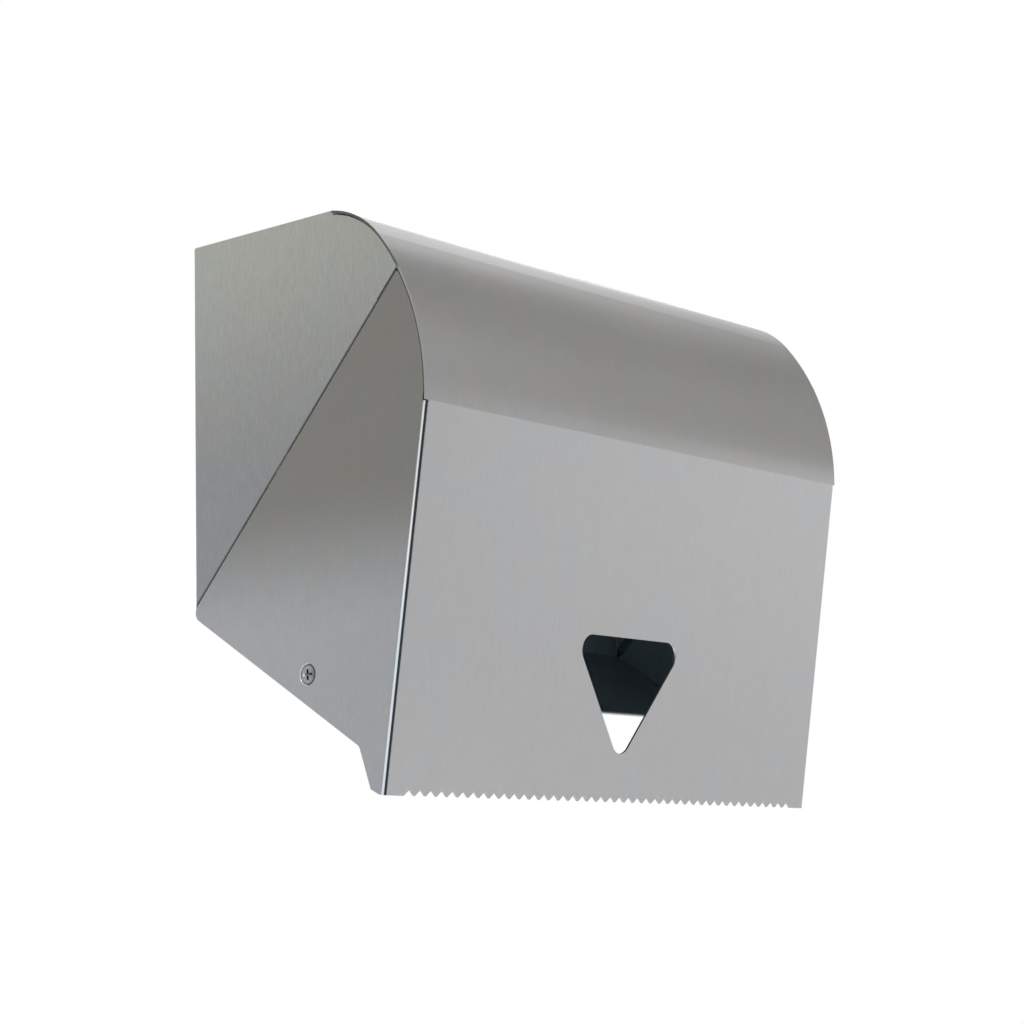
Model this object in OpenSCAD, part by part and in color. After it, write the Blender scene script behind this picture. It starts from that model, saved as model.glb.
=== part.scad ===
// Wall-mounted dispenser for a roll of paper towel, folded from satin stainless sheet.
// A fixed body (back plate, wings, top panel and sloping tray) carries the roll on a spindle.
// A hooded cover with a serrated tear edge swings down in front of it on two pivot screws.
// Millimetres. The origin is the middle of the back plate's wall face: +X is to the right
// seen from the front, the front faces -Y, and +Z is up.

/* [Case] */
// Overall width, across the cover's two cheeks
case_w = 320; // [312:1:380]
// Height of the back plate
back_h = 173; // [170:0.5:176]
// Thickness of the sheet that the body and the cover are folded from
sheet = 1.0; // [0.8:0.1:1.2]
// Outer radius of the pressed bends
bend_r = 2.0; // [1.6:0.1:2.4]
// Outer radius of the bend between the back plate and the top panel
top_bend_r = 3.0; // [2.5:0.1:4]
// Gap between a cheek of the cover and the wing of the body beside it
side_gap = 0.5; // [0.45:0.05:0.8]
// Gap that the cover's hood keeps over the body's wings and top panel
hood_gap = 0.7; // [0.5:0.05:1]

/* [Hood] */
// Distance from the wall to where the hood's curve would leave level
top_flat = 85; // [83:0.5:87]
// Distance from the wall to the hood's rear edge, where it meets the top panel
hood_seam = 92; // [90:0.5:95]
// Outer radius of the hood's upper curve
hood_r1 = 45.6; // [44:0.1:48]
// Outer radius of the hood's lower, flatter curve
hood_r2 = 112.4; // [108:0.1:116]
// Angle from level at which the upper curve runs into the lower one
hood_a1 = 50; // [48:0.5:52]
// Angle from level at which the lower curve ends at the bend line
hood_a2 = 93.2; // [92:0.1:94]
// Slit between the hood and the curved edge of a cheek
slit = 0.4; // [0.4:0.05:1]
// Relief between the hood's ends and the tops of the front's folded edges
relief = 0.5; // [0.3:0.05:1]

/* [Front] */
// Height of the flat front along its slope, from the bend line to the tear edge
front_len = 169; // [166:0.5:172]
// Angle by which the front leans back towards the wall at the bottom
front_lean = 9.7; // [9:0.1:10.5]
// Width of the triangular window between its unrounded corners
window_w = 86; // [60:0.5:100]
// Height of the window between its unrounded corners
window_h = 59.5; // [45:0.5:70]
// Height of the window's unrounded tip above the tear edge
window_up = 18; // [14:0.5:24]
// Radius of the window's corners
window_r = 7.0; // [5:0.1:11]

/* [Tear edge] */
// Least plain length of the tear edge between the last notch and a side
edge_plain = 12; // [11:0.5:16]
// Distance from one notch to the next
notch_pitch = 7.03; // [6.5:0.01:7.1]
// Depth of a notch
notch_depth = 2.8; // [2:0.1:3.2]
// Width of the flat left on the point of a tooth
tooth_land = 0.4; // [0.3:0.05:0.8]

/* [Cheeks] */
// Angle of a cheek's rear edge above level
seam_angle = 46.6; // [46:0.1:47]
// Radius of a cheek's rear corner
rear_corner_r = 4.5; // [3:0.1:6]
// Blunt end cut across a cheek's upper tip
tip_blunt = 1.2; // [0.8:0.1:2]
// Length of a cheek's square foot behind the front's face
toe_flat = 2.8; // [2.5:0.1:3.5]
// Depth of a cheek's foot behind the front's face, at the end of its chamfer
toe_depth = 7.9; // [7:0.1:9]
// Rise of the foot's chamfer
toe_rise = 1.6; // [1:0.1:2.5]
// Depth of a cheek's knee behind the front's face
knee_depth = 17.3; // [16:0.1:19]
// Height of a cheek's knee above the tear edge
knee_up = 18.9; // [17:0.1:21]
// Radius of a cheek's knee
knee_r = 4.0; // [2:0.1:6]
// Distance by which a cheek reaches below the body's wing
cheek_drop = 0.5; // [0.3:0.05:1]

/* [Pivots] */
// Distance of the pivots from the wall
pivot_out = 73.5; // [73:0.1:74.5]
// Distance of the pivots from the lower edge of the wings, which round off about them
pivot_edge = 11.4; // [11:0.1:12.5]
// Radius of a pivot screw's thread
screw_r = 2.5; // [2.4:0.05:2.6]
// Radius of a pivot screw's countersunk head
head_r = 4.5; // [4.4:0.05:4.8]
// Depth of the head's rim in its countersink, and height of the head's dome
head_sink = 0.3; // [0.2:0.05:0.4]
// Length of a pivot screw over its head
screw_len = 10; // [9.5:0.5:14]
// Width of the cross recess's slots
recess_w = 1.2; // [0.8:0.05:1.3]
// Radius of the cross recess at the head's face
recess_r = 2.9; // [2.2:0.1:3]
// Depth of the cross recess
recess_d = 2.0; // [1.5:0.1:2.5]
// Running clearance between the cover and its pivots
run_gap = 0.05; // [0.03:0.01:0.08]
// Outer radius of the nylon spacer between a cheek and a wing
spacer_r = 8; // [7:0.5:9]
// Outer radius of the steel washer under a nut
washer_r = 5.5; // [5:0.25:6.5]
// Thickness of the steel washer under a nut
washer_t = 1.0; // [0.8:0.1:1.2]
// Width of a nut across its flats
nut_af = 8; // [8:0.5:9]
// Height of a nut's hexagon
nut_h = 3.6; // [3:0.1:4]
// Height of the round collar that holds a nut's nylon ring
collar_h = 1.6; // [1.2:0.1:2]
// Thickness of the lip rolled in over the ring
collar_lip = 0.4; // [0.3:0.05:0.5]
// Radius of the ring's seat in the collar
ring_r = 3.3; // [3.1:0.05:3.4]

/* [Body] */
// Depth of the stiffening flange under the top panel's front edge
flange_h = 14; // [10:0.5:16]
// Length of the sloping tray, from the wall to its hemmed lip
tray_len = 75.5; // [68:0.5:76]
// Height of the tray's underside above the lower edges of the wings
tray_lift = 0.4; // [0.3:0.05:1]
// Width of the hem folded back along the tray's lip
hem_w = 8; // [6:0.5:12]
// Distance along the hood's curve by which a wing reaches past a cheek's upper tip
wing_lap = 6; // [4:0.5:10]
// Gap between the hood's rear edge and the top panel that stops it
stop_gap = 0.5; // [0.4:0.05:0.8]
// Width of a wing's slot that shows behind the cheek's rear edge
slot_show = 1.9; // [1.5:0.1:2.3]
// Width of a wing's slot that the cheek covers
slot_hide = 1.1; // [0.8:0.1:2]
// Extra width of a wing's slot beside the cheek's upper tip
slot_step = 0.9; // [0.5:0.1:1.5]
// Length of the wider end of a wing's slot, to the cheek's upper tip
slot_step_len = 17; // [12:0.5:24]
// Distance of a slot's closed end from the wall, along the cheek's rear edge
slot_foot = 5.1; // [4.8:0.1:8]
// Radius of a hole for a wall screw
wall_hole_r = 3.25; // [2.5:0.25:4]
// Distance between the wall holes across the back plate
wall_hole_x = 220; // [180:1:240]
// Distance between the wall holes up the back plate
wall_hole_z = 110; // [90:1:120]

/* [Spindle] */
// Radius of the spindle rod
rod_r = 5; // [4:0.5:6]
// Distance of the spindle from the wall
rod_out = 74; // [72:0.5:76]
// Distance of the spindle below the top
rod_drop = 88; // [84:0.5:92]
// Free space between an end of the rod and the wing beside it
rod_end_gap = 3.5; // [2:0.5:4]
// Chamfer at the ends of the rod
rod_chamfer = 1; // [0.5:0.1:1.5]
// Length of a hub's boss, from its flange to the cradle's clearance
boss_len = 5.5; // [4:0.5:8]
// Outer radius of a hub's flange
hub_flange_r = 27; // [24:0.5:32]
// Thickness of a hub's flange
hub_flange_t = 3; // [2:0.5:4]
// Outer radius of a hub's plug where it meets the flange
plug_r = 19.5; // [17:0.5:21]
// Length of a hub's plug
plug_len = 20; // [15:0.5:28]
// Radius lost along the plug's taper
plug_taper = 1.8; // [1:0.1:3]
// Wall of a hub's plug and of the sleeve on the rod
hub_wall = 2.2; // [1.8:0.1:2.6]
// Number of ribs between a hub's plug and its sleeve
rib_count = 6; // [4:1:8]
// Thickness of a rib
rib_t = 1.6; // [1.2:0.1:2]
// Space between a hub's boss and the cradle beside it
boss_gap = 0.5; // [0.4:0.1:1]
// Outer radius of a spring clip on the rod
clip_r = 8; // [7.5:0.5:10]
// Thickness of a spring clip
clip_t = 1.0; // [0.8:0.1:1.2]
// Depth of the groove that a clip sits in
groove_d = 0.8; // [0.5:0.1:1]

/* [Cradles] */
// Thickness of a cradle's sheet
cradle_t = 1.5; // [1.2:0.1:1.8]
// Width of a cradle
cradle_w = 34; // [28:1:40]
// Outer radius of a cradle's bends and of its upper corners
cradle_bend_r = 3; // [2.5:0.1:3.5]
// Length of a cradle's foot, spot-welded to the wing
foot_len = 24; // [20:1:30]
// Distance from the rod's axis down to the bend under it
cradle_under = 14; // [12:0.5:18]
// Distance from the rod's axis up to the top of a cradle
cradle_over = 16; // [14:0.5:20]
// Distance by which a cradle stands in from the wing
cradle_offset = 6; // [5.5:0.25:7]
// Angle of a cradle's joggle from upright
joggle_angle = 45; // [35:1:55]
// Clearance of the rod in its cradles
cradle_gap = 0.1; // [0.05:0.01:0.1]
// Angle of a cradle's mouth above level, towards the front
mouth_angle = 58; // [50:1:70]

/* [Hidden] */
$fn = 96;
steel = [0.66, 0.66, 0.65];
bright = [0.78, 0.79, 0.80];
nylon = [0.90, 0.89, 0.85];

// Points of the side view are [distance out from the wall, height above the origin].
function polar(c, r, a) = c + r * [cos(a), sin(a)];
top_z = back_h / 2;
body_w = case_w - 2 * (sheet + side_gap);
body_in = body_w - 2 * sheet;
top_front = hood_seam - stop_gap;

// The hood is two tangent arcs, and the flat front hangs from the crease at their end.
arc1_c = [top_flat, top_z - hood_r1];
arc2_c = polar(arc1_c, hood_r1 - hood_r2, 90 - hood_a1);
seam_turn = asin((hood_seam - top_flat) / hood_r1);
front_in = [-cos(front_lean), sin(front_lean)];
front_up = [sin(front_lean), cos(front_lean)];
crease = polar(arc2_c, hood_r2, 90 - hood_a2);
crease_chord = 2 * hood_r2 * sin(front_lean + 90 - hood_a2);
front_foot = crease - front_len * front_up;
fold_top = front_len - relief;
function on_front(inward, up) = front_foot + inward * front_in + up * front_up;

// The wings, the tray and the cheeks share the slope of the underside.
knee = on_front(knee_depth, knee_up);
back_foot = [0, top_z - back_h];
cheek_heel = back_foot - [0, cheek_drop];
under_angle = atan((cheek_heel[1] - knee[1]) / knee[0]);
under_down = [-sin(under_angle), -cos(under_angle)];
pivot = [pivot_out, back_foot[1] - pivot_out * tan(under_angle) + pivot_edge / cos(under_angle)];
rod = [rod_out, top_z - rod_drop];

// A cheek's rear edge runs up from its heel until it meets the slit under the hood.
seam_dir = [cos(seam_angle), sin(seam_angle)];
seam_b = (cheek_heel - arc2_c) * seam_dir;
cheek_curve_r = hood_r2 - sheet - slit;
seam_len = -seam_b + sqrt(seam_b ^ 2 - norm(cheek_heel - arc2_c) ^ 2 + cheek_curve_r ^ 2);
cheek_tip = cheek_heel + seam_len * seam_dir;
wing_curve_r = hood_r2 - sheet - hood_gap;
tip_angle = atan2(cheek_tip[1] - arc2_c[1], cheek_tip[0] - arc2_c[0]);
wing_front = polar(arc2_c, wing_curve_r, tip_angle - wing_lap / wing_curve_r * 180 / PI);
nose_angle = atan2(wing_front[1] - pivot[1], wing_front[0] - pivot[0])
    - acos(pivot_edge / norm(wing_front - pivot));
function on_seam(along, behind) = cheek_heel + along * seam_dir + behind * [-seam_dir[1], seam_dir[0]];

spacer_t = side_gap - run_gap;
cone_r = head_r + head_sink;
spacer_hole_r = cone_r - sheet + 2 * run_gap;
wing_hole_r = cone_r - sheet - side_gap + 2 * run_gap;
nut_x = washer_t - body_in / 2;
sleeve_r = rod_r + run_gap + hub_wall;
cradle_in = body_in / 2 - cradle_offset - cradle_t;
roll_len = 2 * (cradle_in - boss_gap - boss_len - hub_flange_t);
hub_end = roll_len / 2 - plug_len;
rod_end = body_in / 2 - rod_end_gap;

// Points of the arc that rounds the corner b between a and c
function rounded(a, b, c, r, n = 8) = let (
        u = (a - b) / norm(a - b),
        v = (c - b) / norm(c - b),
        half = acos(u * v) / 2,
        o = b + (u + v) / norm(u + v) * r / sin(half),
        p = b + u * r / tan(half) - o,
        q = b + v * r / tan(half) - o,
        start = atan2(p[1], p[0]),
        turn = atan2(p[0] * q[1] - p[1] * q[0], p * q))
    [for (i = [0 : n]) polar(o, r, start + turn * i / n)];

// Part of a disc, or of a ring where inner is above 0, between two angles up to 180 apart
module sector(c, outer, inner, from, to) {
    corners = [for (a = [from, (from + to) / 2, to]) polar([0, 0], 2 * outer, a)];
    translate(c) intersection() {
        difference() {
            circle(outer);
            if (inner > 0) circle(inner);
        }
        polygon(concat([[0, 0]], corners));
    }
}

// Section of a folded strip of thickness t that lies to the left of its path. Each step is
// [straight length, angle of the bend to the left after it, outer radius of that bend].
module strip(steps, t, i = 0) {
    if (i < len(steps)) {
        run = steps[i][0];
        turn = steps[i][1];
        r = steps[i][2];
        path_r = turn < 0 ? t - r : r;
        if (run > 0) square([run, t]);
        if (turn > 0) sector([run, path_r], r, r - t, -90, turn - 90);
        if (turn < 0) sector([run, path_r], r, r - t, 90 + turn, 90);
        translate([run + path_r * sin(turn), path_r * (1 - cos(turn))]) rotate(turn)
            strip(steps, t, i + 1);
    }
}

// Extrudes a side view across the case, from x to x + width
module across(x, width) {
    translate([x + width, 0, 0]) rotate([90, 0, -90]) linear_extrude(width) children();
}

// Revolves a profile of [radius, distance inwards] about the X axis at a point of the side view
module turned(at, x) {
    translate([x, -at[0], at[1]]) rotate([0, 90, 0]) rotate_extrude() children();
}

// Places what is drawn in the front's own frame: its face is Y = 0, its tear edge Z = 0
module leaning() {
    translate([0, -front_foot[0], front_foot[1]]) rotate([front_lean, 0, 0]) children();
}

// Turns a side view into the front's own frame
module to_front() {
    rotate(front_lean) translate(-front_foot) children();
}

// Everything under the hood's curves, drawn in by inset. The last curve runs on past the
// crease, and half way along the chord that the front cuts off it the straight side starts.
module under_hood(inset) {
    translate(arc1_c) circle(hood_r1 - inset);
    sector(arc2_c, hood_r2 - inset, 0, -90, 90 - hood_a1);
    polygon([[0, top_z - inset], [top_flat, top_z - inset], arc1_c,
        on_front(-bend_r, front_len - crease_chord / 2), on_front(-bend_r, -knee_up),
        [0, front_foot[1] - knee_up]]);
}

// In the front's own frame, everything under the hood and behind the front
module enclosed(inset) {
    intersection() {
        to_front() under_hood(inset);
        translate([-2 * front_len - inset, 0]) square([2 * front_len, 2 * front_len]);
    }
}

// Side view of the slot that runs along a cheek's rear edge and out under the hood
module wing_slot() {
    end = seam_len + wing_lap;
    step = seam_len - slot_step_len;
    wide = slot_show + slot_step;
    polygon([on_seam(slot_foot, -slot_hide), on_seam(end, -slot_hide), on_seam(end, wide),
        on_seam(step, wide), on_seam(step, slot_show), on_seam(slot_foot, slot_show)]);
}

// Side view of a wing: along the top, under the hood, down to the pivot and up the underside
module wing_outline() {
    intersection() {
        union() {
            polygon([back_foot, [0, top_z - top_bend_r], [top_bend_r, top_z],
                [crease[0], top_z], [crease[0], wing_front[1]], wing_front,
                polar(pivot, pivot_edge, nose_angle), pivot + pivot_edge * under_down]);
            translate([top_bend_r, top_z - top_bend_r]) circle(top_bend_r);
            translate(pivot) circle(pivot_edge);
        }
        union() {
            under_hood(sheet + hood_gap);
            translate([0, -back_h]) square([top_front, 2 * back_h]);
        }
    }
}

// Plan of the two wings and of the bends that join them to the back plate
module wing_plan() {
    depth = wing_front[0] + bend_r;
    for (m = [0, 1]) mirror([m, 0]) translate([body_w / 2, -depth]) rotate(90)
        strip([[depth - bend_r, 90, bend_r]], sheet);
}

// Plan of the room between the wings, which steps in past the bends
module between_wings() {
    depth = wing_front[0] + bend_r;
    translate([-body_in / 2, -depth]) square([body_in, depth - bend_r]);
    translate([bend_r - body_w / 2, -depth]) square([body_w - 2 * bend_r, depth]);
}

// Side view of the sheet between the wings: flange, top panel, back plate, tray, hemmed lip
module body_section() {
    lift = tray_lift / cos(under_angle);
    corner = bend_r * tan((90 - under_angle) / 2);
    translate([top_front, top_z - flange_h]) rotate(90) strip([
        [flange_h - bend_r, 90, bend_r],
        [top_front - bend_r - top_bend_r, 90, top_bend_r],
        [back_h - top_bend_r - lift - corner, 90 - under_angle, bend_r],
        [tray_len - sheet - corner, 180, sheet],
        [hem_w, 0, sheet]], sheet);
}

module body() {
    low = pivot[1] - 2 * pivot_edge;
    color(steel) difference() {
        union() {
            intersection() {
                translate([0, 0, low]) linear_extrude(top_z - low) wing_plan();
                across(-body_w / 2, body_w) difference() {
                    wing_outline();
                    wing_slot();
                }
            }
            intersection() {
                translate([0, 0, low]) linear_extrude(2 * back_h) between_wings();
                across(-body_in / 2, body_in) body_section();
            }
        }
        for (m = [0, 1]) mirror([m, 0, 0])
            turned(pivot, -case_w / 2) square([wing_hole_r, 4 * sheet]);
        for (x = [-1, 1], z = [-1, 1])
            translate([x * wall_hole_x / 2, sheet, z * wall_hole_z / 2]) rotate([90, 0, 0])
                cylinder(r = wall_hole_r, h = 3 * sheet);
    }
}

// Side view of the hood's sheet, from its rear edge over the crease to the relief
module hood_section() {
    far = 2 * hood_r2;
    intersection() {
        difference() {
            enclosed(0);
            enclosed(sheet);
        }
        translate([-far, fold_top]) square([2 * far, far]);
        to_front() polygon([arc1_c, polar(arc1_c, far, 90 - seam_turn), [far, far], [far, -far],
            [top_flat, -far]]);
    }
}

// Side view of a cheek, carried past the front so that it also trims the folded edges
module cheek_outline() {
    ahead = -2 * bend_r;
    tip_back = cheek_tip - tip_blunt * seam_dir;
    to_front() polygon(concat(rounded(knee, cheek_heel, cheek_tip, rear_corner_r),
        [tip_back, [crease[0] - ahead, tip_back[1]], on_front(ahead, front_len),
        on_front(ahead, 0), on_front(toe_flat, 0), on_front(toe_depth, toe_rise)],
        rounded(on_front(toe_depth, toe_rise), knee, cheek_heel, knee_r)));
}

// Plan of the front and the start of both cheeks, folded back along its two long edges. It is
// extruded half way up the reliefs, so that it overlaps the front's top edge under the hood.
module front_plan() {
    reach = knee_depth;
    translate([-case_w / 2, reach]) rotate(-90) strip([[reach - bend_r, 90, bend_r],
        [case_w - 2 * bend_r, 90, bend_r], [reach - bend_r, 0, bend_r]], sheet);
}

// Rounded triangle with its point down
module window() {
    half = atan(window_w / 2 / window_h);
    tip = [0, window_up];
    corner = [window_w / 2, window_up + window_h];
    low = tip + [0, window_r / sin(half)];
    inset = window_r / tan((90 - half) / 2);
    high = corner - [inset, window_r];
    out = window_r * [cos(half), -sin(half)];
    polygon([low - [out[0], -out[1]], low + out, high + out, high + [0, window_r],
        [-high[0], high[1] + window_r], [-high[0] - out[0], high[1] + out[1]]]);
    for (c = [low, high, [-high[0], high[1]]]) translate(c) circle(window_r);
}

// Comb of notches, cut up from below the tear edge
module notches() {
    half = (notch_pitch - tooth_land) / 2;
    notch_count = floor((case_w - 2 * edge_plain) / notch_pitch);
    first = -(notch_count - 1) / 2 * notch_pitch;
    polygon(concat([[first - half, -notch_depth]],
        [for (i = [0 : notch_count - 1]) let (x = first + i * notch_pitch)
            each [[x - half, 0], [x, notch_depth], [x + half, 0]]],
        [[-first + half, -notch_depth]]));
}

module cover() {
    color(steel) difference() {
        leaning() difference() {
            union() {
                across(-case_w / 2, case_w) hood_section();
                intersection() {
                    linear_extrude(fold_top + relief / 2) front_plan();
                    across(-case_w / 2, case_w) cheek_outline();
                }
                for (m = [0, 1]) mirror([m, 0, 0]) across(-case_w / 2, sheet) intersection() {
                    cheek_outline();
                    enclosed(sheet + slit);
                    translate([-2 * front_len - bend_r, 0]) square(2 * front_len);
                }
            }
            for (m = [0, 1]) mirror([m, 0, 0])
                translate([-case_w / 2 - sheet, -sheet, fold_top])
                    cube([sheet + bend_r, sheet + bend_r, relief]);
            translate([0, 2 * sheet, 0]) rotate([90, 0, 0]) linear_extrude(4 * sheet) {
                window();
                notches();
            }
        }
        for (m = [0, 1]) mirror([m, 0, 0]) turned(pivot, -case_w / 2)
            polygon([[0, -sheet], [cone_r + run_gap + sheet, -sheet],
                [cone_r + run_gap - 2 * sheet, 2 * sheet], [0, 2 * sheet]]);
    }
}

// Countersunk screw with a cross recess, the top of its low dome flush with the cheek
module pivot_screw() {
    dome_r = (head_r ^ 2 + head_sink ^ 2) / (2 * head_sink);
    color(bright) difference() {
        intersection() {
            turned(pivot, -case_w / 2) polygon([[0, -head_sink], [head_r, -head_sink],
                [head_r, head_sink], [screw_r, cone_r - screw_r], [screw_r, screw_len],
                [0, screw_len]]);
            translate([dome_r - case_w / 2, -pivot[0], pivot[1]]) rotate([0, 90, 0]) sphere(dome_r);
        }
        translate([-case_w / 2, -pivot[0], pivot[1]]) rotate([0, 90, 0]) intersection() {
            cylinder(r1 = recess_r, r2 = recess_w / 2, h = recess_d);
            union() {
                cube([2 * recess_r, recess_w, 2 * recess_d], center = true);
                cube([recess_w, 2 * recess_r, 2 * recess_d], center = true);
            }
        }
    }
}

module pivot_spacer() {
    color(nylon) turned(pivot, -body_w / 2 - spacer_t) translate([spacer_hole_r, 0])
        square([spacer_r - spacer_hole_r, spacer_t]);
}

module pivot_washer() {
    hole_r = screw_r + 2 * run_gap;
    color(bright) turned(pivot, -body_in / 2) translate([hole_r, 0])
        square([washer_r - hole_r, washer_t]);
}

// Hexagon nut with a round collar, rolled in at its end to hold a nylon ring
module pivot_nut() {
    color(bright) difference() {
        translate([nut_x, -pivot[0], pivot[1]]) rotate([0, 90, 0]) {
            cylinder(r = nut_af / 2 / cos(30), h = nut_h, $fn = 6);
            cylinder(r = nut_af / 2 - run_gap, h = nut_h + collar_h);
        }
        turned(pivot, nut_x) polygon([[0, -washer_t], [screw_r + run_gap, -washer_t],
            [screw_r + run_gap, nut_h], [ring_r, nut_h], [ring_r, nut_h + collar_h - collar_lip],
            [screw_r + run_gap, nut_h + collar_h - collar_lip],
            [screw_r + run_gap, nut_h + 2 * collar_h], [0, nut_h + 2 * collar_h]]);
    }
}

module nut_ring() {
    bore = screw_r + run_gap;
    color(nylon) turned(pivot, nut_x) translate([bore, nut_h])
        square([ring_r - run_gap - bore, collar_h - collar_lip]);
}

// Cradle folded from a strip: foot on the wing, joggle, and an upright with the rod's slot
module cradle() {
    r = cradle_bend_r;
    slot_r = rod_r + cradle_gap;
    bends = (2 * r - cradle_t) * (1 - cos(joggle_angle));
    joggle = (cradle_offset - bends) / sin(joggle_angle);
    joggle_h = (2 * r - cradle_t) * sin(joggle_angle) + joggle * cos(joggle_angle);
    foot = rod[1] - cradle_under - joggle_h - foot_len;
    top = rod[1] + cradle_over;
    back = rod[0] - cradle_w / 2;
    front = rod[0] + cradle_w / 2;
    color(bright) difference() {
        intersection() {
            translate([-body_in / 2, -back, foot]) rotate([90, 0, 0]) linear_extrude(cradle_w)
                rotate(90) mirror([0, 1]) strip([[foot_len, joggle_angle, r],
                    [joggle, -joggle_angle, r], [cradle_under + cradle_over, 0, r]], cradle_t);
            across(-body_in / 2, cradle_offset + cradle_t) polygon(concat(
                rounded([back, foot], [back, top], [front, top], 2 * r),
                rounded([back, top], [front, top], [front, foot], 2 * r),
                rounded([front, top], [front, foot], [back, foot], r),
                rounded([front, foot], [back, foot], [back, top], r)));
        }
        across(-body_in / 2, 2 * cradle_offset) translate(rod) {
            circle(slot_r);
            rotate(mouth_angle) translate([0, -slot_r]) square([2 * cradle_w, 2 * slot_r]);
        }
    }
}

// Plain rod with chamfered ends and a groove for each clip
module spindle_rod() {
    groove = rod_r - groove_d;
    half = [[0, rod_end], [rod_r - rod_chamfer, rod_end], [rod_r, rod_end - rod_chamfer],
        [rod_r, hub_end], [groove, hub_end], [groove, hub_end - clip_t], [rod_r, hub_end - clip_t]];
    mirrored = [for (i = [len(half) - 1 : -1 : 0]) [half[i][0], -half[i][1]]];
    color(bright) turned(rod, 0) polygon(concat(half, mirrored));
}

// Moulded hub: boss, flange, and a ribbed hollow plug that centres the roll's core
module hub() {
    boss_out = cradle_in - boss_gap;
    flange_out = roll_len / 2 + hub_flange_t;
    bore = rod_r + run_gap;
    root = sleeve_r - hub_wall / 2;
    rib_end = plug_len - rib_t;
    color(nylon) {
        turned(rod, -boss_out) translate([bore, 0])
            square([sleeve_r - bore, boss_out - hub_end]);
        turned(rod, -flange_out) translate([bore, 0])
            square([hub_flange_r - bore, hub_flange_t]);
        turned(rod, -roll_len / 2) polygon([[plug_r - hub_wall, 0], [plug_r, 0],
            [plug_r - plug_taper, plug_len], [plug_r - plug_taper - hub_wall, plug_len]]);
        for (i = [0 : rib_count - 1])
            translate([-roll_len / 2, -rod[0], rod[1]]) rotate([360 / rib_count * i, 0, 0])
                translate([0, rib_t / 2, 0]) rotate([90, 0, 0]) linear_extrude(rib_t)
                    polygon([[0, root], [0, plug_r - hub_wall / 2],
                        [rib_end, plug_r - plug_taper - hub_wall / 2], [rib_end, root]]);
    }
}

// Open spring clip in the rod's groove, against the hub's sleeve
module spindle_clip() {
    inner = rod_r - groove_d + run_gap;
    color(bright) across(-hub_end, clip_t) translate(rod) difference() {
        circle(clip_r);
        circle(inner);
        translate([-inner, -2 * clip_r]) square([2 * inner, 2 * clip_r]);
    }
}

body();
cover();
pivot_screw();  // pivot_screw_left
mirror([1, 0, 0]) pivot_screw();  // pivot_screw_right
pivot_spacer();  // pivot_spacer_left
mirror([1, 0, 0]) pivot_spacer();  // pivot_spacer_right
pivot_washer();  // pivot_washer_left
mirror([1, 0, 0]) pivot_washer();  // pivot_washer_right
pivot_nut();  // pivot_nut_left
mirror([1, 0, 0]) pivot_nut();  // pivot_nut_right
nut_ring();  // nut_ring_left
mirror([1, 0, 0]) nut_ring();  // nut_ring_right
cradle();  // cradle_left
mirror([1, 0, 0]) cradle();  // cradle_right
spindle_rod();
hub();  // hub_left
mirror([1, 0, 0]) hub();  // hub_right
spindle_clip();  // spindle_clip_left
mirror([1, 0, 0]) spindle_clip();  // spindle_clip_right
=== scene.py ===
# %% [markdown]
# # A paper towel dispenser in satin stainless sheet
#
# The imported model gives every real shape: a folded body, a folded cover that swings down, and
# the spindle between them. This script gives those shapes their finishes, adds the few small
# things that belong to the surface, which are dark foam strips behind the wings' slots as painted
# shade, and sets up a plain studio with the camera at the photograph's viewpoint. It starts with
# the model, which stays where it is.

# %% Load the imported model
import math

import bmesh
import bpy
import numpy as np
from mathutils import Matrix, Vector


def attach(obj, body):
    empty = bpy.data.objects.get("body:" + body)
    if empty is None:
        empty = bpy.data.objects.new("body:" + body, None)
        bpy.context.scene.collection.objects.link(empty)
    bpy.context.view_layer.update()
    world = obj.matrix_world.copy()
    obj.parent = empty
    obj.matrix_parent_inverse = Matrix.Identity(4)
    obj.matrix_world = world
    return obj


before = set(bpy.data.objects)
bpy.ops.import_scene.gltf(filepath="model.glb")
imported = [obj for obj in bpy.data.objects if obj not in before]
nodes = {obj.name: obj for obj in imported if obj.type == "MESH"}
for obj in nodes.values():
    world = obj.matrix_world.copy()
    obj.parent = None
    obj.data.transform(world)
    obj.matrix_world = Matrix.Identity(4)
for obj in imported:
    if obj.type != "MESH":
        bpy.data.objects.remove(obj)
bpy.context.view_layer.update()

# %% [markdown]
# ## Camera
#
# The photographer stood low, to the left and in front, and pointed the camera up at the
# dispenser, because it hangs above eye level. The place, the aim and the focal length were
# worked out from the corners, the curves and the teeth in the photograph, so the camera is
# given by numbers and not by a target. The small roll tips the horizon.

# %% Camera
CAMERA_AT = (-0.9401, -0.8407, -0.2287)
AZIMUTH, PITCH, ROLL = (math.radians(a) for a in (50.262, 9.285, -1.515))
FOCAL_MM, SENSOR_MM = 87.9, 36.0

forward = Vector((math.sin(AZIMUTH) * math.cos(PITCH), math.cos(AZIMUTH) * math.cos(PITCH),
                  math.sin(PITCH)))
right = Vector((math.cos(AZIMUTH), -math.sin(AZIMUTH), 0.0))
up = right.cross(forward)
rolled_right = math.cos(ROLL) * right + math.sin(ROLL) * up
rolled_up = math.cos(ROLL) * up - math.sin(ROLL) * right

camera = bpy.data.objects.new("camera", bpy.data.cameras.new("camera"))
camera.data.lens, camera.data.sensor_width = FOCAL_MM, SENSOR_MM
camera.data.clip_start, camera.data.clip_end = 0.05, 60.0
turn = Matrix((rolled_right, rolled_up, -forward)).transposed().to_4x4()
camera.matrix_world = Matrix.Translation(CAMERA_AT) @ turn
bpy.context.scene.collection.objects.link(camera)
bpy.context.scene.camera = camera
bpy.context.scene.view_settings.view_transform = "Standard"
print("camera", tuple(round(c, 3) for c in camera.location))

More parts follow.
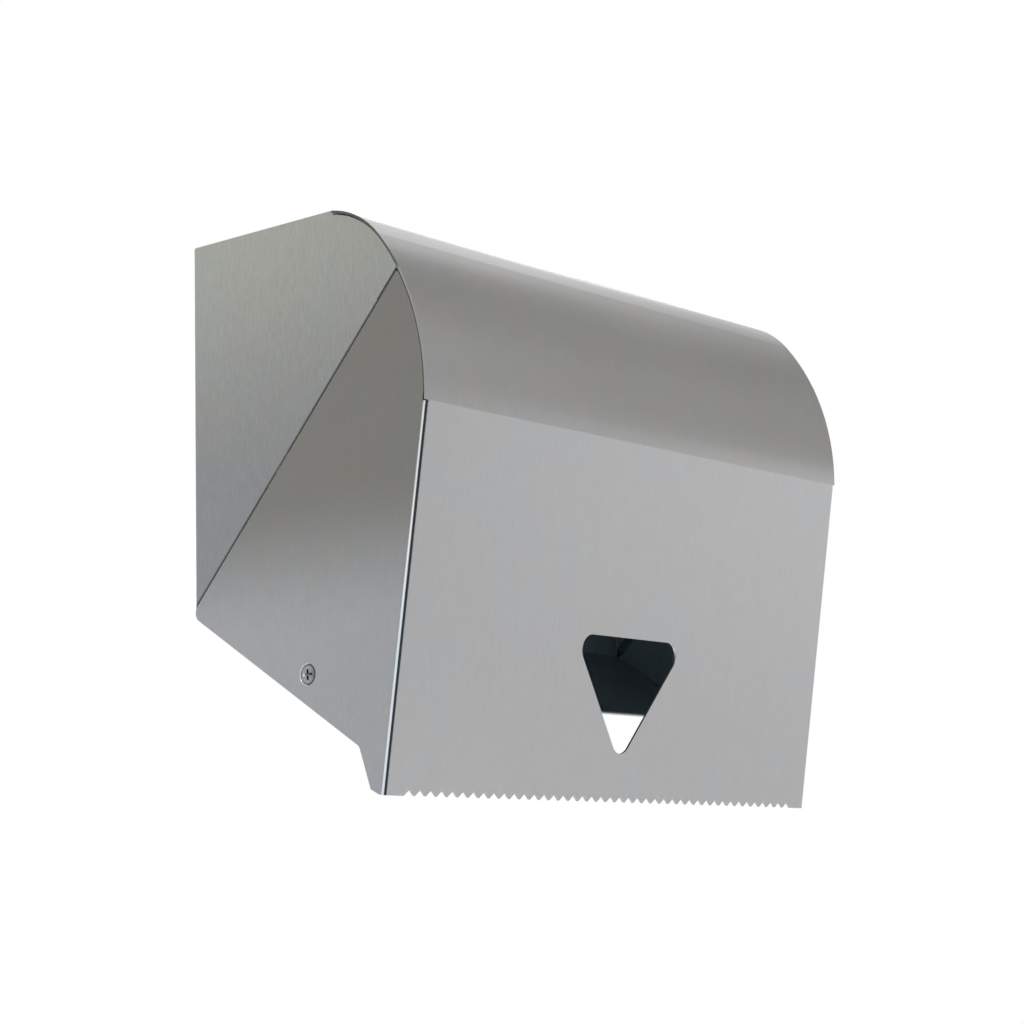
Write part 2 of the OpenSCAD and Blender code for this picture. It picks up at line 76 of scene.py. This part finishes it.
# %% [markdown]
# ## Writing shader maths as sums
#
# A finish is a set of small calculations on the surface: a stripe here, a little more blur
# there. Wiring them by hand hides the idea, so one class wraps a socket and turns Python's
# operators into Math nodes. `grain * 0.3 + 0.5` then reads as what it does.

# %% Sockets with operators
class Wire:
    """One output of a node tree. Sums and products with it add Math nodes."""

    def __init__(self, tree, socket):
        self.tree, self.socket = tree, socket

    def node(self, kind, output=0, settings=None, **inputs):
        """Adds a node: its settings first, then values or links for its sockets by name."""
        made = self.tree.nodes.new(kind)
        for name, value in (settings or {}).items():
            setattr(made, name, value)
        for name, value in inputs.items():
            key = int(name[1:]) if name[1:].isdigit() else name.replace("_", " ")
            if isinstance(value, Wire):
                self.tree.links.new(value.socket, made.inputs[key])
            else:
                made.inputs[key].default_value = value
        return Wire(self.tree, made.outputs[output])

    def math(self, operation, a, b=0.0):
        """A Math node on one or two values."""
        return self.node("ShaderNodeMath", settings={"operation": operation}, i0=a, i1=b)

    def __add__(self, other): return self.math("ADD", self, other)
    def __radd__(self, other): return self.math("ADD", other, self)
    def __sub__(self, other): return self.math("SUBTRACT", self, other)
    def __rsub__(self, other): return self.math("SUBTRACT", other, self)
    def __mul__(self, other): return self.math("MULTIPLY", self, other)
    def __rmul__(self, other): return self.math("MULTIPLY", other, self)
    def __truediv__(self, other): return self.math("DIVIDE", self, other)
    def absolute(self): return self.math("ABSOLUTE", self)
    def root(self): return self.math("SQRT", self)
    def larger(self, other): return self.math("MAXIMUM", self, other)

    def parts(self):
        """The X, Y and Z of a vector as three wires."""
        made = self.node("ShaderNodeSeparateXYZ", Vector=self)
        return [Wire(self.tree, made.socket.node.outputs[i]) for i in range(3)]

    def ramp(self, low, high):
        """0 below low, 1 above high, and a smooth rise between."""
        return self.node("ShaderNodeMapRange", settings={"interpolation_type": "SMOOTHSTEP"},
                         Value=self, From_Min=low, From_Max=high)

    def blend(self, colour_a, colour_b):
        """colour_a where this is 0, colour_b where it is 1."""
        return self.node("ShaderNodeMix", output=2, settings={"data_type": "RGBA"},
                         Factor=self, i6=colour_a, i7=colour_b)


def new_material(name):
    """An empty node material: its tree, its Principled shader, and a wire to build from."""
    material = bpy.data.materials.new(name)
    material.use_nodes = True
    tree = material.node_tree
    shader = next(n for n in tree.nodes if n.type == "BSDF_PRINCIPLED")
    return material, tree, shader, Wire(tree, None)


def dress(material, *names):
    """Gives the CAD nodes of these names one finish."""
    for name in names:
        slots = nodes[name].data.materials
        slots.clear()
        slots.append(material)
    print(material.name, "on", ", ".join(names))


# %% [markdown]
# ## Satin stainless sheet
#
# Satin sheet is ground with a belt, so it carries thousands of fine scratches that all run one
# way. On this dispenser they run up the front, over the hood and up the sides. Each scratch is
# a tiny groove: along it the steel mirrors sharply, and across it the reflection smears. The
# Anisotropic setting makes that smear, and stretched noises make the scratches that show.
# One noise is fine across the width for the front, the hood and the back, and one is fine
# across the depth for the wings and the cheeks.
#
# Three masks then say where on the sheet a point lies, so that one material can finish a whole
# folded blank. A side faces left or right. A fold is where the normal turns from the side to
# the front: bending rubs the grain flat, so it shines. The inner face was never ground, and
# keeps the duller, bluish skin of the rolling mill.

# %% Where a point lies on the folded blank
# Half the cover's width, and the distance from the middle to a wing's inner face
CASE_HALF, WING_INNER = 0.160, 0.1575
INSIDE_POINT = (0.0, -0.070, -0.030)


def where_on_sheet(wire):
    """Masks of 0 to 1 from the place P and the normal n in the object's frame.

    side: |nx| rises past 0.6. fold: 4 nx^2 (1 - nx^2), which is 1 where the normal is half way
    round a fold. inner: the normal points back to a point in the middle of the roll space.
    """
    place = wire.node("ShaderNodeTexCoord", output="Object")
    facing = wire.node("ShaderNodeTexCoord", output="Normal")
    x, y, z = place.parts()
    nx, ny, nz = facing.parts()
    side = nx.absolute().ramp(0.6, 0.8)
    square = nx * nx
    fold = (square * (1 - square) * 4.0).ramp(0.03, 0.35)
    outward = wire.node("ShaderNodeVectorMath", settings={"operation": "SUBTRACT"},
                        i0=place, i1=INSIDE_POINT)
    dot = wire.node("ShaderNodeVectorMath", output="Value", settings={"operation": "DOT_PRODUCT"},
                    i0=outward, i1=facing)
    inner = 1 - dot.ramp(-0.004, 0.0)
    return place, (x, y, z), (nx, ny, nz), side, fold, inner


# %% [markdown]
# The finish itself puts four things together. The tone is one colour on the front and drifts
# with height on the sides as painted shade. The marks lie over it: a painted highlight on a cut
# edge, and painted shadow over the slot beside the cheek and on the hood's rim over the wing.
# The grain, a slow cloud and a fine mottle then lighten and darken it a little. The grain also
# drives the roughness and a shallow bump.

# %% Satin steel
MILL_TONE = (0.49, 0.565, 0.60, 1.0)
WARM_TINT, COOL_TINT = (1.008, 1.0, 0.988, 1.0), (0.985, 1.0, 1.012, 1.0)


def satin_steel(name, side_shade_tones, span, front_tone, marks, grip, roughness=0.34, smear=0.6,
                seed=0.0):
    """Ground sheet. A side's tone runs from low to high over span as painted shade, and grip is how
    much grain.

    marks(wire, place, normal, tone) lays a painted highlight on cut edges and painted shadow
    over the tone. Shade is 1 + (grain - 0.5) grip + (cloud - 0.5) 0.08 + (mottle - 0.5) 0.06.
    Roughness follows the grain and the cloud, falls by 72 % on a fold, and rises by 0.25 on the
    inner face.
    """
    material, tree, shader, wire = new_material(name)
    place, (x, y, z), normal, side, fold, inner = where_on_sheet(wire)

    def scratches(stretch):
        """Noise drawn out along the grain: stretch is its fineness along each axis."""
        moved = wire.node("ShaderNodeMapping", Vector=place, Scale=stretch,
                          Location=(seed, seed, seed))
        return wire.node("ShaderNodeTexNoise", output=0, Vector=moved, Scale=1.0,
                         Detail=3.0, Roughness=0.6)

    across_front = scratches((1900.0, 90.0, 90.0))
    across_side = scratches((90.0, 1300.0, 190.0))
    grain = wire.node("ShaderNodeMix", output=0, Factor=side, A=across_front, B=across_side)
    cloud = wire.node("ShaderNodeTexNoise", output=0, Vector=place, Scale=9.0, Detail=2.0)
    mottle = wire.node("ShaderNodeTexNoise", output=0, Vector=place, Scale=160.0, Detail=2.0)

    # Painted shade: a side's tone drifts with height, warmer and greener high up and bluer low
    # down, the wings lighter high up and the cheeks darker.
    low, high = side_shade_tones
    side_shade_rise = z.ramp(*span)
    tone = side.blend(front_tone + (1.0,), side_shade_rise.blend(low + (1.0,), high + (1.0,)))
    mill = inner.blend(tone, MILL_TONE)
    patches = wire.node("ShaderNodeTexNoise", output=0, Vector=place, Scale=34.0, Detail=2.0)
    tinted = patches.ramp(0.35, 0.65).blend(WARM_TINT, COOL_TINT)
    finished = wire.node("ShaderNodeVectorMath", settings={"operation": "MULTIPLY"},
                         i0=marks(wire, (x, y, z), normal, mill), i1=tinted)
    shade = (grain - 0.5) * grip + (cloud - 0.5) * 0.08 + (mottle - 0.5) * 0.06 + 1.0
    lift = wire.node("ShaderNodeVectorMath", settings={"operation": "SCALE"},
                     Vector=finished, Scale=shade)
    tree.links.new(lift.socket, shader.inputs["Base Color"])
    blur = (grain - 0.5) * (0.3 * grip) + (cloud - 0.5) * 0.05 + roughness
    rubbed = blur * (1 - fold * 0.72) + inner * 0.25
    tree.links.new(rubbed.socket, shader.inputs["Roughness"])
    shader.inputs["Metallic"].default_value = 1.0
    shader.inputs["Anisotropic"].default_value = smear
    relief = wire.node("ShaderNodeBump", Height=grain, Strength=0.35 * grip, Distance=0.0002)
    tree.links.new(relief.socket, shader.inputs["Normal"])
    return material


# The seam starts at its heel, given as distance out from the wall and height. The slot reaches
# from in front of the seam's line to behind it.
SEAM_HEEL, SEAM_RISE, SLOT = (0.0, -0.0870), math.radians(46.6), (-0.0011, 0.0019)
# The first colour is a painted highlight on the wing's cut rims, and the second a painted shadow
# over the slot.
EDGE_HIGHLIGHT, SLOT_SHADOW = (0.66, 0.67, 0.66, 1.0), (0.10, 0.11, 0.10, 1.0)


def wing_marks(wire, place, normal, tone):
    """Cut rims with a painted highlight, and a line of painted shadow over the slot that fades out
    1.1 mm behind it.

    A rim has |x| past the wing's inner face and a normal that does not point sideways. The
    distance behind the seam is y sin(rise) + (z - heel) cos(rise), the dot of the way from the
    heel with the seam's normal in the side view.
    """
    x, y, z = place
    across = normal[0].absolute()
    rim = x.absolute().ramp(WING_INNER - 0.0001, WING_INNER + 0.0001) * (1 - across.ramp(0.2, 0.4))
    behind = y * math.sin(SEAM_RISE) + (z - SEAM_HEEL[1]) * math.cos(SEAM_RISE)
    line = behind.ramp(SLOT[0] - 0.0005, SLOT[0]) * (1 - behind.ramp(SLOT[1], SLOT[1] + 0.0011))
    return (line * across.ramp(0.8, 0.9)).blend(rim.blend(tone, EDGE_HIGHLIGHT), SLOT_SHADOW)


# In the side view: the centre of the hood's lower curve (Y, Z), the radius of its inner face,
# and the heights of the cheek's tip and of the crease between hood and front
HOOD_CENTRE, HOOD_INNER_R, TIP_Z, CREASE_Z = (-0.03383, -0.00204), 0.1112, 0.0535, -0.0085
# The first rim colour is a painted highlight beside the cheek, and the second a painted shadow over
# the wing.
RIM_HIGHLIGHT, RIM_SHADOW = (0.62, 0.62, 0.60, 1.0), (0.21, 0.225, 0.20, 1.0)


def cover_marks(wire, place, normal, tone):
    """The hood's side rims: facing sideways, and outside its inner radius or above the cheek.

    Beside the cheek the rim is bare, with a painted highlight. Over the wing it is dark with
    painted shadow.
    """
    x, y, z = place
    out, up = y - HOOD_CENTRE[0], z - HOOD_CENTRE[1]
    radius = (out * out + up * up).root()
    over_wing = z.ramp(TIP_Z - 0.002, TIP_Z + 0.0005)
    rim = radius.ramp(HOOD_INNER_R - 0.0001, HOOD_INNER_R + 0.0001).larger(over_wing)
    rim = rim * z.ramp(CREASE_Z, CREASE_Z + 0.0005)
    rim = rim * x.absolute().ramp(CASE_HALF - 0.0004, CASE_HALF - 0.0001)
    return (rim * normal[0].absolute().ramp(0.85, 0.95)).blend(
        tone, over_wing.blend(RIM_HIGHLIGHT, RIM_SHADOW))


# The sides' tones below are painted shade: the wings lighter towards the top, the cheeks darker.
body_steel = satin_steel("satin_steel_body", ((0.480, 0.495, 0.505), (0.690, 0.700, 0.645)),
                         (-0.035, 0.095), (0.52, 0.52, 0.51), wing_marks, grip=0.36, smear=0.3)
cover_steel = satin_steel("satin_steel_cover", ((0.680, 0.695, 0.725), (0.405, 0.395, 0.372)),
                          (-0.105, -0.035), (0.524, 0.521, 0.526), cover_marks, grip=0.15, seed=3.0)
dress(body_steel, "body")
dress(cover_steel, "cover")

# %% [markdown]
# ## Hardware
#
# The screws, nuts, washers, clips and the rod are bright turned or plated steel, and the
# cradles are plain mill-finish strip. Turned parts carry fine rings about their axis. The two
# pivot screws sit outside, and painted shade darkens their cross and the seat round their head.

# %% Bright and plain steel
def turned_steel(name, tone, roughness):
    """Bright steel whose faint rings follow the distance along X."""
    material, tree, shader, wire = new_material(name)
    place = wire.node("ShaderNodeTexCoord", output="Object")
    moved = wire.node("ShaderNodeMapping", Vector=place, Scale=(6000.0, 60.0, 60.0))
    rings = wire.node("ShaderNodeTexNoise", output=0, Vector=moved, Scale=1.0, Detail=2.0)
    cloud = wire.node("ShaderNodeTexNoise", output=0, Vector=place, Scale=70.0, Detail=2.0)
    shade = (rings - 0.5) * 0.4 + (cloud - 0.5) * 0.3 + 0.5
    dark = tuple(0.85 * c for c in tone) + (1.0,)
    light = tuple(min(1.0, 1.12 * c) for c in tone) + (1.0,)
    tree.links.new(shade.blend(dark, light).socket, shader.inputs["Base Color"])
    tree.links.new(((cloud - 0.5) * 0.12 + roughness).socket, shader.inputs["Roughness"])
    shader.inputs["Metallic"].default_value = 1.0
    relief = wire.node("ShaderNodeBump", Height=rings, Strength=0.12, Distance=0.0002)
    tree.links.new(relief.socket, shader.inputs["Normal"])
    return material


# The pivots' axis (Y, Z), the edge of the screw's head and the reach of its cross
PIVOT, HEAD_R, CROSS_R = (-0.0735, -0.11999), 0.0040, 0.0032


def screw_steel(name, pivot, head_out):
    """Plated screw, with painted shade in the cross and in the seat round the head.

    The distance from the pivot's axis is the square root of y^2 + z^2 about it. The seat lies
    past the head's edge. Where |x| is less than the head's face, within the cross's reach, the
    surface is down in the cross.
    """
    material, tree, shader, wire = new_material(name)
    place = wire.node("ShaderNodeTexCoord", output="Object")
    x, y, z = place.parts()
    out, up = y - pivot[0], z - pivot[1]
    radius = (out * out + up * up).root()
    seat = radius.ramp(HEAD_R - 0.0003, HEAD_R + 0.0003)
    sunk = 1 - x.absolute().ramp(head_out - 0.0008, head_out - 0.0003)
    cross = sunk * (1 - radius.ramp(CROSS_R - 0.0001, CROSS_R + 0.0001))
    spots = wire.node("ShaderNodeTexNoise", output=0, Vector=place, Scale=420.0, Detail=3.0)
    plated = spots.blend((0.44, 0.45, 0.46, 1.0), (0.60, 0.61, 0.62, 1.0))
    # The dark seat and cross are painted shade in the recesses.
    recess_shade = seat.larger(cross).blend(plated, (0.10, 0.105, 0.105, 1.0))
    tree.links.new(recess_shade.socket, shader.inputs["Base Color"])
    tree.links.new((spots * 0.12 + 0.16).socket, shader.inputs["Roughness"])
    shader.inputs["Metallic"].default_value = 1.0
    relief = wire.node("ShaderNodeBump", Height=spots, Strength=0.12, Distance=0.0002)
    tree.links.new(relief.socket, shader.inputs["Normal"])
    return material


bright = turned_steel("bright_steel", (0.66, 0.67, 0.68), 0.22)
screw_finish = screw_steel("screw_steel", PIVOT, CASE_HALF)
plain = turned_steel("plain_steel", (0.46, 0.46, 0.455), 0.42)
SIDES = ("left", "right")
dress(bright, "spindle_rod", *(f"{part}_{side}" for side in SIDES
                               for part in ("pivot_washer", "pivot_nut", "spindle_clip")))
dress(screw_finish, *(f"pivot_screw_{side}" for side in SIDES))
dress(plain, *(f"cradle_{side}" for side in SIDES))

# %% [markdown]
# ## Nylon
#
# The hubs, the thin spacers and the rings that lock the nuts are natural nylon: an ivory
# plastic that lets a little light in, with a faint orange-peel skin from the mould.

# %% Nylon
def moulded_nylon(name, tone):
    """Ivory plastic with a fine skin and slow changes of tone."""
    material, tree, shader, wire = new_material(name)
    place = wire.node("ShaderNodeTexCoord", output="Object")
    skin = wire.node("ShaderNodeTexNoise", output=0, Vector=place, Scale=900.0, Detail=2.0)
    cloud = wire.node("ShaderNodeTexNoise", output=0, Vector=place, Scale=45.0, Detail=2.0)
    dark = tuple(0.93 * c for c in tone) + (1.0,)
    tree.links.new(cloud.blend(dark, tone + (1.0,)).socket, shader.inputs["Base Color"])
    tree.links.new((skin * 0.12 + 0.40).socket, shader.inputs["Roughness"])
    shader.inputs["Subsurface Weight"].default_value = 0.15
    shader.inputs["Subsurface Scale"].default_value = 0.002
    relief = wire.node("ShaderNodeBump", Height=skin, Strength=0.15, Distance=0.0002)
    tree.links.new(relief.socket, shader.inputs["Normal"])
    return material


nylon = moulded_nylon("nylon", (0.78, 0.76, 0.70))
dress(nylon, *(f"{part}_{side}" for side in SIDES for part in ("hub", "pivot_spacer", "nut_ring")))

# %% [markdown]
# ## Foam tape behind the wings' slots, as painted shade
#
# Each wing has a slot along the cheek's rear edge, which draws the dark line of the seam. Seen
# through the window, the far slot lets no light in, so something dark closes it from inside.
# The photograph doesn't show what, and a strip of dark foam tape stands in for it as painted
# shade. It comes in two lengths that leave room for the cradle. Each is a cushion with round
# long edges, a section carried straight along the seam.

# %% Foam tape as painted shade
# For each length: where it starts and ends along the seam, and how far behind the seam it reaches.
TAPE_THICK = 0.0011
TAPES = {"lower": ((0.0044, 0.0795), (-0.0024, 0.0022)),
         "upper": ((0.0945, 0.1890), (-0.0024, 0.0032))}


def shade_strip(name, hand, start, end, low, high):
    """A bar along the seam whose section is a half pill.

    Along the seam the centre moves from start to end, and behind the seam the section reaches
    from low to high. Round the section the angle t runs over a full turn: across = middle +
    half width * sign(cos t) |cos t|^0.5, and thickness is TAPE_THICK * |sin t|^0.5 on the inner
    half and 0 on the half that is stuck to the wing. Both ends shrink to a line, so the surface
    closes.
    """
    turns, steps = 32, 24
    t = np.linspace(0.0, 2.0 * np.pi, turns, endpoint=False)
    along = np.concatenate([[start], np.linspace(start + 0.0003, end - 0.0003, steps), [end]])
    swell = np.concatenate([[0.0], np.ones(steps), [0.0]])
    across = np.sign(np.cos(t)) * np.sqrt(np.abs(np.cos(t))) * (high - low) / 2 + (low + high) / 2
    thick = TAPE_THICK * np.sqrt(np.clip(np.sin(t), 0.0, 1.0))
    run, rise = math.cos(SEAM_RISE), math.sin(SEAM_RISE)
    out = SEAM_HEEL[0] + along[:, None] * run - across * rise
    up = SEAM_HEEL[1] + along[:, None] * rise + across * run
    side = hand * (WING_INNER - swell[:, None] * thick)
    points = np.stack([np.broadcast_to(side, out.shape), -out, up], -1).reshape(-1, 3)
    ring, turn = np.meshgrid(np.arange(len(along) - 1), np.arange(turns), indexing="ij")
    a, b = ring * turns + turn, ring * turns + (turn + 1) % turns
    faces = np.stack([a, b, b + turns, a + turns], -1).reshape(-1, 4)
    ends = [list(range(turns)), list(range(len(points) - turns, len(points)))]
    mesh = bpy.data.meshes.new(name)
    mesh.from_pydata(points.tolist(), [], faces.tolist() + ends)
    shape = bmesh.new()
    shape.from_mesh(mesh)
    bmesh.ops.recalc_face_normals(shape, faces=shape.faces)
    shape.to_mesh(mesh)
    shape.free()
    mesh.shade_smooth()
    made = bpy.data.objects.new(name, mesh)
    bpy.context.scene.collection.objects.link(made)
    return made


# The tape's dark tone is painted shade behind the slot, and the dusty tone marks patches of dust.
FOAM_SHADE, FOAM_DUSTY = (0.115, 0.135, 0.145, 1.0), (0.150, 0.170, 0.180, 1.0)


def foam(name):
    """Closed-cell foam as painted shade: dark grey, matt, with small pores that dent it and patches
    of grey dust.
    """
    material, tree, shader, wire = new_material(name)
    place = wire.node("ShaderNodeTexCoord", output="Object")
    pores = wire.node("ShaderNodeTexVoronoi", output=0, Vector=place, Scale=1400.0)
    dust = wire.node("ShaderNodeTexNoise", output=0, Vector=place, Scale=60.0, Detail=3.0)
    tone = dust.ramp(0.4, 0.7).blend(FOAM_SHADE, FOAM_DUSTY)
    tree.links.new(tone.socket, shader.inputs["Base Color"])
    tree.links.new((pores * 0.2 + 0.75).socket, shader.inputs["Roughness"])
    relief = wire.node("ShaderNodeBump", Height=pores, Strength=0.4, Distance=0.0002)
    tree.links.new(relief.socket, shader.inputs["Normal"])
    return material


shade_foam = foam("shade_foam")
for side, hand in (("left", -1.0), ("right", 1.0)):
    for level, ((start, end), (low, high)) in TAPES.items():
        tape = shade_strip(f"slot_shade_tape_{level}_{side}", hand, start, end, low, high)
        tape.data.materials.append(shade_foam)
        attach(tape, "case")
        print(tape.name, "length", round(1000 * (end - start), 1), "mm")

# %% [markdown]
# ## Studio
#
# Steel shows its surroundings more than its own colour, so the studio is half of the finish.
# The background is white to the camera, and the steel sees the same white, while the soft light
# that falls on the object is a little weaker.

# %% World
world = bpy.data.worlds.new("studio")
bpy.context.scene.world = world
world.use_nodes = True
tree = world.node_tree
background = next(n for n in tree.nodes if n.type == "BACKGROUND")
wire = Wire(tree, None)


def seen_directly(wire):
    """1 for rays from the camera, from gloss and through glass, and 0 for soft light."""
    path = wire.tree.nodes.new("ShaderNodeLightPath")
    rays = [Wire(wire.tree, path.outputs[name]) for name in
            ("Is Camera Ray", "Is Glossy Ray", "Is Transmission Ray")]
    return wire.math("MINIMUM", rays[0] + rays[1] + rays[2], 1.0)


SOFT_LEVEL = 0.92
strength = seen_directly(wire) * (1.0 - SOFT_LEVEL) + SOFT_LEVEL
background.inputs["Color"].default_value = (1.0, 1.0, 1.0, 1.0)
tree.links.new(strength.socket, background.inputs["Strength"])
print("soft light", SOFT_LEVEL, "of the white background")

# %% [markdown]
# Cards stand around the object like the flags of a product photographer. Two to the right give
# the hood its darker field and stop above the horizon, so that the front under the crease stays
# light. A bright one behind the hood lights its contour. Strip lights and a dark card near the
# camera draw the bright and the dark line of the folds. On the left, a narrow dark flag and a
# wide grey card darken the side. The cards are stage: only reflections see them, so they throw
# no shadow and no light.

# %% Cards
def card(name, azimuth, elevation, tone, distance=3.0):
    """A patch of a sphere about the object: ranges of azimuth and elevation in degrees.

    With azimuth a from +Y towards +X and elevation e, a point is the distance times
    (sin a cos e, cos a cos e, sin e).
    """
    columns, rows = 25, 13
    a, e = np.meshgrid(np.radians(np.linspace(*azimuth, columns)),
                       np.radians(np.linspace(*elevation, rows)))
    points = distance * np.stack([np.sin(a) * np.cos(e), np.cos(a) * np.cos(e), np.sin(e)], -1)
    first = (np.arange(rows - 1)[:, None] * columns + np.arange(columns - 1)).reshape(-1, 1)
    faces = first + np.array([0, 1, columns + 1, columns])
    mesh = bpy.data.meshes.new(name)
    mesh.from_pydata(points.reshape(-1, 3).tolist(), [], faces.tolist())
    made = bpy.data.objects.new(name, mesh)
    bpy.context.scene.collection.objects.link(made)
    material = bpy.data.materials.new(name)
    material.use_nodes = True
    tree = material.node_tree
    tree.nodes.clear()
    wire = Wire(tree, None)
    glow = wire.node("ShaderNodeEmission", Color=tone + (1.0,), Strength=1.0)
    clear = wire.node("ShaderNodeBsdfTransparent")
    path = wire.node("ShaderNodeLightPath", output="Is Glossy Ray")
    mixed = wire.node("ShaderNodeMixShader", i0=path, i1=clear, i2=glow)
    end = tree.nodes.new("ShaderNodeOutputMaterial")
    tree.links.new(mixed.socket, end.inputs["Surface"])
    mesh.materials.append(material)
    print(name, "azimuth", azimuth, "elevation", elevation)


card("card_right_high", (88, 140), (31, 62), (0.335, 0.329, 0.308))
card("card_right_low", (88, 140), (8.5, 31), (0.440, 0.432, 0.404))
card("card_behind_hood", (20, 62), (-5, 30), (3.2, 3.4, 3.5))
card("card_near_camera", (158, 224), (-24, 45), (0.06, 0.075, 0.085), distance=1.6)
card("strip_light", (232, 262), (-4, 50), (1.9, 2.0, 2.1))
card("strip_light_low", (232, 262), (-24, -4), (1.0, 1.1, 1.16), distance=1.6)
card("flag_left", (284, 299), (-20, 50), (0.10, 0.10, 0.10), distance=2.0)
card("card_left", (299, 345), (-20, 50), (0.625, 0.625, 0.62))

# %% [markdown]
# The floor is a pale, dull disc well below the dispenser, which hangs. One large square lamp, up
# in front and to the left, adds a soft direction to the light.

# %% Floor and lamp
FLOOR_Z, FLOOR_R, FLOOR_CORNERS = -0.62, 6.0, 96

floor_mesh = bpy.data.meshes.new("floor")
around = np.linspace(0.0, 2.0 * np.pi, FLOOR_CORNERS, endpoint=False)
rim = np.stack([FLOOR_R * np.cos(around), FLOOR_R * np.sin(around),
                np.full(FLOOR_CORNERS, FLOOR_Z)], -1)
floor_mesh.from_pydata(rim.tolist(), [], [list(range(FLOOR_CORNERS))])
floor = bpy.data.objects.new("floor", floor_mesh)
bpy.context.scene.collection.objects.link(floor)
floor_material, tree, shader, wire = new_material("floor")
shader.inputs["Base Color"].default_value = (0.86, 0.86, 0.86, 1.0)
shader.inputs["Roughness"].default_value = 0.9
shader.inputs["Specular IOR Level"].default_value = 0.0
floor_mesh.materials.append(floor_material)


def softbox(name, at, aim, size, watts):
    """A square area lamp that looks from one point to another."""
    lamp = bpy.data.lights.new(name, "AREA")
    lamp.shape, lamp.size, lamp.energy = "SQUARE", size, watts
    made = bpy.data.objects.new(name, lamp)
    bpy.context.scene.collection.objects.link(made)
    made.location = at
    made.rotation_euler = (Vector(aim) - Vector(at)).to_track_quat("-Z", "Y").to_euler()
    print(name, "lamp", watts, "W, side", size, "m")


softbox("key", (-0.8, -1.6, 1.8), (0.0, -0.07, -0.04), 1.2, 18.0)
